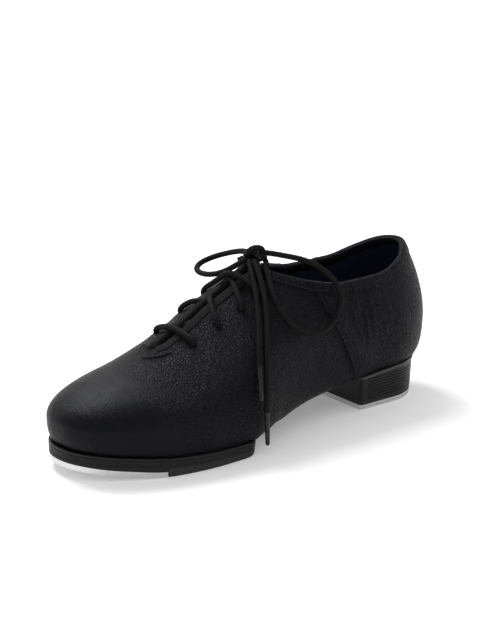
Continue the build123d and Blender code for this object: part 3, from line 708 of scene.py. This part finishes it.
def stiffener(name, low_s, high_s, top_z):
    """A shaped stiffener between the leather and the lining, over the sides of a stretch of the upper."""
    bm = upper_sheet(LEATHER + 0.1, 30, 18, 8)
    cuts = ((Vector((0, y_of(low_s), 0)), Vector((0, -1, 0))), (Vector((0, y_of(high_s), 0)), Vector((0, 1, 0))),
            (Vector((0, 0, top_z)), Vector((0, 0, 1))))
    for place, outward in cuts:
        bmesh.ops.bisect_plane(bm, geom=bm.verts[:] + bm.edges[:] + bm.faces[:], plane_co=place,
                               plane_no=outward, clear_outer=True)
    bottom = [face for face in bm.faces if face.normal.z < -0.7]
    bmesh.ops.delete(bm, geom=bottom, context="FACES")
    return thickened(from_bmesh(name, bm, MM), STIFFENER)


def build_stiffeners():
    puff = stiffener("toe_puff_shell", -PAST, PUFF_END_S, FAR)
    settle(puff, "stiffener", "stiffener", "toe_puff", body=None)
    counter = stiffener("heel_counter_shell", COUNTER_FRONT_S, LENGTH + PAST, COUNTER_TOP)
    settle(counter, "stiffener", "stiffener", "heel_counter")


# ---- bindings and stitches
def edge_line(side, s0, s1, rows=160):
    """The upper's top edge on one side, closing up towards s1."""
    stations = [s1 - (s1 - s0) * (1 - k / rows)**2 for k in range(rows + 1)]
    return [skin(s, side, top_t(s, side)) for s in stations]


TOPLINE = edge_line(1, CORNER_S, HEEL_TOP_S) + edge_line(-1, CORNER_S, HEEL_TOP_S)[-2::-1]
THROAT_INNER = edge_line(1, THROAT_S[0] + 0.5, CORNER_S, 60)
THROAT_OUTER = edge_line(-1, THROAT_S[0] + 0.5, CORNER_S, 60)[::-1]


def edge_frames(line, step):
    """Points along an edge with the leather's normal and the way down from the edge."""
    points = resample(line, step)
    ways = tangents(points)
    found = []
    for p, along in zip(points, ways):
        place, out = hug(p)
        found.append((place, out, along.cross(out).normalized()))
    for _ in range(3):
        outs = [f[1] for f in found]
        last = len(found) - 1
        softened = [(outs[max(i - 1, 0)] + outs[i] * 2 + outs[min(i + 1, last)]).normalized()
                    for i in range(last + 1)]
        found = [(f[0], n, way.cross(n).normalized()) for f, n, way in zip(found, softened, ways)]
    return found


def band(name, line, profile, step, rib=None):
    """A tape folded over an edge. Its profile is a loop of (distance down from the edge, height) pairs."""
    rings = []
    for i, (p, out, down) in enumerate(edge_frames(line, step)):
        proud = rib(i * step) if rib else 0.0
        ring = []
        for distance, height in profile:
            lift = height + (proud if height > -1 else 0)
            if distance > 0:
                place, normal = hug(p + down * distance)
                ring.append(place + normal * lift)
            else:
                ring.append(p + down * distance + out * lift)
        rings.append(ring)
    return mesh_object(name, *loft(rings), clean=True)


TOPLINE_PROFILE = [(5.6, -0.2), (5.55, 0.4), (5.2, 0.72), (4.7, 0.66), (4.25, 0.42), (3.8, 0.68), (3.1, 0.9),
                   (1.9, 1.0), (0.7, 0.98), (0.0, 0.85), (-0.6, 0.45), (-1.05, -0.3), (-1.2, -1.25),
                   (-1.05, -2.2), (-0.55, -2.9), (0.3, -3.2), (2.2, -3.15), (4.6, -3.1), (5.1, -2.8),
                   (5.2, -2.3), (3.0, -1.3)]
THROAT_PROFILE = [(5.2, -0.2), (5.15, 0.4), (4.8, 0.6), (4.3, 0.38), (3.8, 0.6), (2.6, 0.75), (1.2, 0.8),
                  (0.3, 0.78), (-0.3, 0.5), (-0.8, -0.1), (-1.0, -1.2), (-0.8, -2.3), (-0.3, -2.8),
                  (0.8, -3.0), (3.2, -2.95), (4.2, -2.6), (2.4, -1.3)]
RIB_PITCH, RIB = 1.25, 0.26


def build_bindings():
    def ribbed(length):
        return RIB * math.cos(2 * math.pi * length / RIB_PITCH)
    for name, node, line in (("binding_throat_inner", "throat_binding_inner", THROAT_INNER),
                             ("binding_throat_outer", "throat_binding_outer", THROAT_OUTER)):
        settle(band(name, line, THROAT_PROFILE, RIB_PITCH / 6, ribbed), "tape", "binding_tape", node)
    settle(band("binding_topline", TOPLINE, TOPLINE_PROFILE, 1.0), "leather", "binding_tape", "topline_binding")


def stitch(centre, along, out, length, radius):
    """One thread stitch: a short arched tube whose ends dive into the leather."""
    across = along.cross(out)
    rings = []
    for k in range(7):
        t = k / 3 - 1
        r = radius * (1 - 0.55 * t**4)
        middle = centre + along * (t * length / 2) + out * (radius * 0.75 - radius * 1.7 * t**4)
        rings.append(round_ring(middle, across, out, r, 6))
    return loft(rings)


def sewn(name, lines, pitch=2.7, length=2.1, radius=0.27):
    """A row of stitches along each line of points on the leather."""
    verts, faces = [], []
    for line, height in lines:
        points = resample(line, pitch)
        for p, along in list(zip(points, tangents(points)))[:-1]:
            centre, out = hug(p + along * pitch / 2, height)
            new_verts, new_faces = stitch(centre, along, out, length, radius)
            faces += [tuple(i + len(verts) for i in face) for face in new_faces]
            verts += new_verts
    settle(mesh_object(name, verts, faces), "thread", "upper_leather")


def below_edge(line, distance, step=2.0):
    return [hug(p + down * distance)[0] for p, _, down in edge_frames(line, step)]


def seam_line(side, distance, top_z, low_z=20.0, rows=40):
    """A line on the side of the shoe, a distance behind the quarter seam, from the topline to the bottom."""
    found = []
    for k in range(rows + 1):
        z = top_z + (low_z - top_z) * k / rows
        s = SEAM_FOOT_S - SEAM_LEAN * z + distance * math.hypot(1, SEAM_LEAN)
        t = bisect(lambda t, s=s, z=z: skin(s, side, t).z > z, 0, 2)
        found.append(skin(s, side, t))
    return found


TOPLINE_ROW, THROAT_ROW = (4.25, 0.42), (4.3, 0.38)       # distance from the edge, and height
SEAM_TOP_Z = 77.0


def build_stitches():
    sewn("stitches_topline", [(below_edge(TOPLINE, TOPLINE_ROW[0]), TOPLINE_ROW[1])])
    lines = [(below_edge(line, THROAT_ROW[0]), THROAT_ROW[1]) for line in (THROAT_INNER, THROAT_OUTER)]
    sewn("stitches_throat", lines, 2.4, 1.8, 0.24)
    rows = [(seam_line(side, distance, SEAM_TOP_Z), 0.0) for side in (1, -1) for distance in SEAM_ROWS]
    sewn("stitches_quarter_seam", rows)


# ---- half-moon at the throat
CRESCENT_WIDE, CRESCENT_FRONT_S, CRESCENT_BACK_S, CRESCENT_HORN_S = 14.5, 60.5, 66.5, 73.5


def crescent_line(bow_s, share=1.0, rows=40):
    """An arc from horn to horn that reaches a station in the middle."""
    found = []
    for k in range(rows + 1):
        u = (2 * k / rows - 1) * share
        s = CRESCENT_HORN_S + (bow_s - CRESCENT_HORN_S) * (1 - u * u)
        found.append(skin_at(s, THROAT_X[0] + u * CRESCENT_WIDE))
    return found


def build_crescent():
    rows, raise_by = 12, 0.85
    lines = [crescent_line(CRESCENT_FRONT_S + (CRESCENT_BACK_S - CRESCENT_FRONT_S) * k / rows)
             for k in range(rows + 1)]
    last = len(lines[0]) - 1
    rings = []
    for j in range(last + 1):
        ends = min(1.0, 6 * j / last, 6 * (last - j) / last)
        top = []
        for k, line in enumerate(lines):
            v = k / rows
            rim = min(1.0, 7 * v, 7 * (1 - v)) ** 0.5
            top.append(hug(line[j], -0.1 + raise_by * rim * ends ** 0.5)[0])
        under = [hug(line[j], -0.5)[0] for line in reversed(lines)]
        rings.append(top + under)
    moon = mesh_object("throat_half_moon", *loft(rings), clean=True)
    settle(moon, "leather", "upper_leather", "throat_crescent", body=None)
    inset = 0.9
    sewn("stitches_half_moon", [(crescent_line(CRESCENT_FRONT_S + inset, 0.93), raise_by - 0.15),
                                (crescent_line(CRESCENT_BACK_S - inset, 0.93), raise_by - 0.15)], 1.7, 1.3, 0.2)


# ---- tongue
TONGUE_FRONT_S, TONGUE_END_S = 66.5, 140.0
TONGUE_HALF, TONGUE_FLARE = 12.0, 10.0           # half width at the front, and how much it grows


def tongue_depth(s):
    return smooth([0, TONGUE_FRONT_S, 82.5, LENGTH], [3.4, 3.4, 8.6, 8.6], s)


def build_tongue():
    first, last, tip = TONGUE_FRONT_S, TONGUE_END_S, 8.0
    rows, columns = 70, 36

    def layer(extra, name, paint, node, slot, thickness, puff):
        rings = []
        for i in range(rows + 1):
            s = first + (last + tip - first) * i / rows
            half = TONGUE_HALF + TONGUE_FLARE * min((s - first) / (last - first), 1.0)
            if s > last:
                half *= math.sqrt(max(1 - ((s - last) / tip)**2, 0.0004))
            top, low = [], []
            for j in range(columns + 1):
                u = 2 * j / columns - 1
                x = throat_x(min(s, 150)) + half * u
                edge = (1 - abs(u)**6) * min(1.0, (last + tip - s) / 2 + 0.05)
                depth = tongue_depth(s) + extra
                point = skin_at(s, x, depth + thickness / 2)
                normal = Vector((0, 0, 1)) if abs(x) < 0.1 else (point - Vector((0, point.y, 20))).normalized()
                rise = thickness / 2 * edge
                swell = puff * edge * (0.5 + 0.5 * noise.noise(point / 12))
                top.append(point + normal * (rise + swell))
                low.append(point - normal * rise)
            rings.append(top + low[::-1])
        settle(mesh_object(name, *loft(rings), clean=True), paint, slot, node, body="tongue")
    layer(0.0, "tongue_leather", "leather", "tongue", "upper_leather", 1.2, 0.15)
    layer(1.3, "tongue_backing", "lining", "tongue_lining", "lining", 0.95, 0.0)


# ---- insole
INSOLE_INSET = 2.9
BOARD_LOW, BOARD_TOP, SOCK_TOP = 2.8, 4.6, 5.6   # above the bottom of the leather
INSOLE_FRONT_S, INSOLE_BACK_S = 7.0, LENGTH - 10


def build_insole():
    """Board and sock liner, following the bottom of the lined upper."""
    def layer(name, low, high, paint, node, slot):
        stations = [s for s in upper_stations() if INSOLE_FRONT_S < s < INSOLE_BACK_S][::2]
        rings = []
        for s in stations:
            floor = at(BOTTOM_Z, s)
            halves = {}
            for side in (1, -1):
                t = bisect(lambda t, s=s, side=side: skin(s, side, t, INSOLE_INSET).z > floor + high, 0.6, 2)
                halves[side] = skin(s, side, t, INSOLE_INSET).x
            top, under = [], []
            for k in range(21):
                u = k / 20
                x = halves[1] + (halves[-1] - halves[1]) * u
                rim = min(1.0, 12 * u, 12 * (1 - u)) ** 0.5
                swell = 0.25 * noise.noise(Vector((x / 14, y_of(s) / 18, 0))) * rim
                y = y_of(s) * (1 - 2 * INSOLE_INSET / LENGTH)
                top.append(Vector((x, y, floor + low + (high - low) * (0.4 + 0.6 * rim) + swell)))
                under.append(Vector((x, y, floor + low)))
            rings.append(top + under[::-1])
        settle(mesh_object(name, *loft(rings), clean=True), paint, slot, node, body=None)
    layer("insole_fibreboard", BOARD_LOW, BOARD_TOP, "board", "insole_board", "fibreboard")
    layer("insole_sock", BOARD_TOP, SOCK_TOP, "lining", "sock_liner", "lining")


# ---- forefoot sole
def sole_half(side, s, margin):
    """Half width of the forefoot sole at a station."""
    tail = max(0.0, min((s - TAIL_S) / (SOLE_END_S - TAIL_S), 1.0))
    width = (at(FEATHER[side], s) + margin) * nose(s, TOE_PLAN_R, TOE_POWER)
    return side * width * (1 - tail**1.35) ** (1 / 2.3)


def sole_stations(first, last):
    """Denser where the outline turns, at the toe and at the tail."""
    rows = [TOE_PLAN_R * (1 - math.cos(math.pi / 2 * k / 44)) for k in range(45)]
    rows += [TOE_PLAN_R + (TAIL_S - TOE_PLAN_R) * k / 34 for k in range(1, 35)]
    rows += [SOLE_END_S - (SOLE_END_S - TAIL_S) * (1 - k / 26)**2 for k in range(1, 27)]
    return [first] * (first > 0) + [s for s in rows if first < s < last or s == first == 0] + [last]


GROOVE_HALF, GROOVE_FLOOR_HALF, GROOVE_DEPTH = 0.3, 0.14, 0.4


def edge_profile(bevel, grooves):
    """A layer's edge from bottom to top: distance in, share of the height, and millimetres on top of that."""
    profile = [(bevel, 0.0, 0.0), (0.3 * bevel, 0.0, 0.3 * bevel), (0.0, 0.0, bevel)]
    for share in grooves:
        profile += [(0.0, share, -GROOVE_HALF), (GROOVE_DEPTH, share, -GROOVE_FLOOR_HALF),
                    (GROOVE_DEPTH, share, GROOVE_FLOOR_HALF), (0.0, share, GROOVE_HALF)]
    return profile + [(0.0, 1.0, -bevel), (0.3 * bevel, 1.0, -0.3 * bevel), (bevel, 1.0, 0.0)]


def inward_ways(border, middle):
    """The level way in from each point of a closed border."""
    n = len(border)
    ways = []
    for i in range(n):
        a, b = border[(i - 1) % n], border[(i + 1) % n]
        if (b - a).length < 1e-6:
            a, b = border[(i - 2) % n], border[(i + 2) % n]
        along = (b - a).normalized()
        ways.append(Vector((along.y, -along.x)))
    if sum(w.dot(p - middle) for w, p in zip(ways, border)) > 0:
        ways = [-w for w in ways]
    return ways


def cover(verts, faces, base, count, flip, across=14):
    """Closes a ring of twice count points that starts at base, in rows from its right half to its left half."""
    previous = None
    for k in range(count):
        a, b = base + count - 1 - k, base + count + k
        row = [a]
        for j in range(1, across):
            verts.append(verts[a].lerp(verts[b], j / across))
            row.append(len(verts) - 1)
        row.append(b)
        if previous:
            for j in range(across):
                face = (previous[j], previous[j + 1], row[j + 1], row[j])
                faces.append(face[::-1] if flip else face)
        previous = row


def level(heights, s):
    return heights(s) if callable(heights) else smooth(SOLE_S, heights, s)


def slab(name, margin, low, high, first=0.0, last=SOLE_END_S, bevel=0.35, grooves=()):
    """A layer of the forefoot sole between two heights, with eased edges and level grooves round its edge."""
    stations = sole_stations(first, last)
    right = [Vector((sole_half(1, s, margin), y_of(s))) for s in stations]
    left = [Vector((sole_half(-1, s, margin), y_of(s))) for s in stations]
    border = right[::-1] + left
    ways = inward_ways(border, Vector((0, y_of((first + last) / 2))))
    rings = []
    for inward, share, up in edge_profile(bevel, grooves):
        ring = []
        for p, way in zip(border, ways):
            q = p + way * inward
            bottom, top = level(low, s_of(p)), level(high, s_of(p))
            ring.append(Vector((q.x, q.y, bottom + (top - bottom) * share + up)))
        rings.append(ring)
    verts, faces = loft(rings, caps=False)
    for base in (0, len(verts) - len(border)):
        cover(verts, faces, base, len(stations), flip=base > 0)
    return mesh_object(name, verts, faces, clean=True)


def build_sole():
    margins = [SOLE_MARGIN - k * SOLE_STEP for k in range(3)]
    midsole = slab("sole_midsole", margins[0], MIDSOLE_Z, lambda s: at(BOTTOM_Z, s) + 0.5, grooves=(0.5,))
    outsole = slab("sole_outsole", margins[1], OUTSOLE_Z, MIDSOLE_Z, grooves=(0.5,))
    pad = slab("sole_rubber_pad", margins[2], GROUND_Z, OUTSOLE_Z, PAD_S)
    settle(midsole, "sole", "sole_leather", "midsole", body=None)
    settle(outsole, "sole", "sole_leather", "outsole", body=None)
    settle(pad, "rubber", "rubber", "rubber_pad", body=None)


# ---- laces
def spline_line(points):
    """Points along a smooth NURBS line with the route's points as its control points."""
    curve = bpy.data.curves.new("route", "CURVE")
    curve.dimensions = "3D"
    curve.resolution_u = 16
    spline = curve.splines.new("NURBS")
    spline.points.add(len(points) - 1)
    for target, p in zip(spline.points, points):
        target.co = (*(Vector(p) * MM), 1)
    spline.order_u = 3
    spline.use_endpoint_u = True
    obj = add_object("route", curve)
    mesh = bpy.data.meshes.new_from_object(obj)
    line = [v.co / MM for v in mesh.vertices]
    bpy.data.objects.remove(obj)
    return line


def braided(line, radius=LACE / 2, step=0.3, around=32):
    """A round braid along a line: a tube with the relief of its crossing strands."""
    strands, cell, relief_depth = 5, 2.0, 0.45
    points = resample(line, step)
    ways = tangents(points)
    side = ways[0].orthogonal().normalized()
    rings = []
    for i, (p, way) in enumerate(zip(points, ways)):
        side = (side - way * side.dot(way)).normalized()
        other = way.cross(side)
        ring = []
        for j in range(around):
            turn = j / around
            a = strands * turn + i * step / cell
            b = strands * turn - i * step / cell
            bulge = (abs(math.sin(math.pi * a)) * abs(math.sin(math.pi * b))) ** 0.6
            r = radius - relief_depth * (1 - bulge)
            angle = 2 * math.pi * turn
            ring.append(p + side * (r * math.cos(angle)) + other * (r * math.sin(angle)))
        rings.append(ring)
    return loft(rings)


def crossing_route(side):
    """Half of the lacing, from the middle of the bottom bar up to the knot, first eyelet on the given side."""
    holes = [(s, throat_x(s), side * (-1) ** k) for k, s in enumerate(EYELET_S)]

    def near(k, ahead, across, height):
        s, middle, out = holes[k]
        return off_skin(s + ahead, middle + out * across, height)

    def cross(k, height):
        s = (EYELET_S[k] + EYELET_S[k + 1]) / 2
        return off_skin(s, throat_x(s), height)

    def hole(k, *heights):
        return [near(k, 0, EYELET_X, height) for height in heights]

    over, low, under = 3.0, 2.6, -4.6
    bar = [near(0, 0, 0, 3.6), near(0, 0, 9, 3.4), *hole(0, low, under), near(0, 4, 8, under)]
    first = [cross(0, CROSS_BELOW[side]), near(1, -4, 8, under), *hole(1, under, low), near(1, 4, 7.5, over)]
    second = [cross(1, CROSS_THROUGH[side]), near(2, -4, 8, under), *hole(2, under, low), near(2, 4, 7.5, over)]
    last = [cross(2, CROSS_ABOVE[side]), near(3, -4, 7.5, over), *hole(3, low, under), near(3, 3, 8, under)]
    return bar + first + second + last + [near(3, 6, 2.2, 1.5)]


def aglet(name, top, tip, node):
    """The hard tip of a lace end: a rolled tube with two crimps and a rounded nose."""
    top, tip = Vector(top), Vector(tip)
    along = (tip - top).normalized()
    side = along.orthogonal().normalized()
    other = along.cross(side)
    length = (tip - top).length
    shape = [(0.0, 1.2), (0.0, 1.5), (0.5, 1.55), (2.6, 1.5), (3.0, 1.3), (3.6, 1.3), (4.0, 1.48), (9.0, 1.45),
             (9.4, 1.28), (10.0, 1.28), (10.4, 1.44), (length - 1.6, 1.3), (length - 0.5, 1.05),
             (length, 0.5)]
    rings = [round_ring(top + along * d, side, other, r, 28) for d, r in shape]
    return settle(mesh_object(name, *loft(rings)), "aglet", "aglet_plastic", node)


# The knot is suggested by five short lengths of braid round its middle; they aren't one tied cord.
KNOT = Vector((0, 8, 103.5))
KNOT_TURN = [(-1, 2.6, -4.5), (-2.5, -3.4, -2.6), (-1, -4.6, 1.4), (1.2, -1.3, 4.0), (2.6, 3.4, 2.8),
             (1.6, 4.8, -0.8), (-0.6, 2.6, -4.0)]
KNOT_UNDER = [(-9, -5, -5.5), (-5.5, -2.5, -3.2), (-1.5, 0.5, -1.6), (2.5, 3, -2.2), (6.5, 3.4, -4), (9, 1.5, -5.8)]
KNOT_UNDER_BACK = [(9, -4.5, -6), (5.5, -2.5, -4.2), (1.5, -1.5, -3.2), (-2.5, 0.5, -3.4), (-6, 3.2, -4.4),
                   (-8.6, 4.5, -5.6)]
KNOT_HEART = [[(-7, -1.8, -1.6), (-3, -1.6, 0.4), (0, -1.4, 1.2), (3, -1.2, 0.2), (7, -0.6, -2.6)],
              [(-6.5, 1, 0.4), (-3, 1.5, 0.2), (0, 1.8, -0.6), (3, 2.2, -0.6), (6.5, 2.6, -2)]]


def build_laces():
    line = spline_line(list(reversed(crossing_route(-1)))[:-1] + crossing_route(1))
    settle(mesh_object("lace_laced", *braided(line)), "lace", "lace_cord", "lace_crossings")
    turns = [mesh_object("turn", *braided(spline_line([KNOT + Vector(p) for p in route])))
             for route in (KNOT_TURN, KNOT_UNDER, KNOT_UNDER_BACK, *KNOT_HEART)]
    settle(joined("lace_bow_knot", turns), "lace", "lace_cord", "lace_knot")
    tips = {"lace_end_long": aglet("lace_tip_long", LONG_END[-1], LONG_TIP, "aglet_long"),
            "lace_end_short": aglet("lace_tip_short", SHORT_END[-1], SHORT_TIP, "aglet_short")}
    for name, node, route in (("lace_bow_outer", "lace_loop_outer", OUTER_LOOP),
                              ("lace_bow_inner", "lace_loop_inner", INNER_LOOP),
                              ("lace_tail_long", "lace_end_long", LONG_END),
                              ("lace_tail_short", "lace_end_short", SHORT_END)):
        line = spline_line(route)
        obj = settle(mesh_object(name, *braided(line)), "lace", "lace_cord", node)


# ---- CAD nodes that stay
def dress_frame():
    paints = {"toe_tap": "tap", "heel_tap": "tap", "toe_tap_screws": "screw", "heel_tap_screws": "screw",
              "heel_nails": "screw", "heel_block": "heel", "heel_rand": "rand", "heel_top_piece": "rubber",
              "toe_soundboard": "soundboard",
              "eyelet_stay_inner": "stiffener", "eyelet_stay_outer": "stiffener"}
    for node, paint in paints.items():
        dress(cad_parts[node], PAINT[paint])


# ---- stage
def area_light(name, place, aim, size, power):
    light = bpy.data.lights.new(name, "AREA")
    light.shape = "RECTANGLE"
    light.size = light.size_y = size
    light.energy = power
    obj = add_object(name, light)
    obj.location = place
    obj.rotation_euler = (Vector(aim) - Vector(place)).to_track_quat("-Z", "Y").to_euler()


def build_stage():
    half, below = 30.0, 0.05       # metres to each side, and millimetres under the shoe
    corners = [(x * half / MM, y * half / MM, -below) for x, y in ((-1, -1), (1, -1), (1, 1), (-1, 1))]
    floor = mesh_object("floor", corners, [(0, 1, 2, 3)])
    paper = Paint("white_paper", Base_Color=(0.93, 0.93, 0.93, 1), Roughness=0.9, Specular_IOR_Level=0.1,
                  Emission_Color=(1, 1, 1, 1), Emission_Strength=0.2)
    paper.bump(paper.noise(1.5, 2.0), 0.01)
    dress(floor, paper.material)

    world = bpy.data.worlds.new("studio")
    world.use_nodes = True
    background = world.node_tree.nodes["Background"]
    background.inputs["Color"].default_value = (1, 1, 1, 1)
    background.inputs["Strength"].default_value = 0.72
    bpy.context.scene.world = world
    area_light("key", (-0.72, -0.02, 1.1), aim=(0, 0, 0.04), size=0.6, power=14)

    azimuth, elevation, distance = math.radians(52), math.radians(19), 1.3
    target = Vector((0, 0, 0.045))
    back = Vector((math.sin(azimuth) * math.cos(elevation), -math.cos(azimuth) * math.cos(elevation),
                   math.sin(elevation)))
    lens = bpy.data.cameras.new("camera")
    lens.sensor_fit = "VERTICAL"
    lens.sensor_height = 36
    lens.lens = 124.6
    lens.shift_x = -0.00625
    lens.shift_y = 0.0484
    camera = add_object("camera", lens)
    camera.location = target + back * distance
    camera.rotation_euler = back.to_track_quat("Z", "Y").to_euler()
    bpy.context.scene.camera = camera
    bpy.context.scene.view_settings.view_transform = "Standard"


build_stage()
build_laces()
build_upper()
build_stiffeners()
build_bindings()
build_stitches()
build_crescent()
build_tongue()
build_insole()
build_sole()
dress_frame()
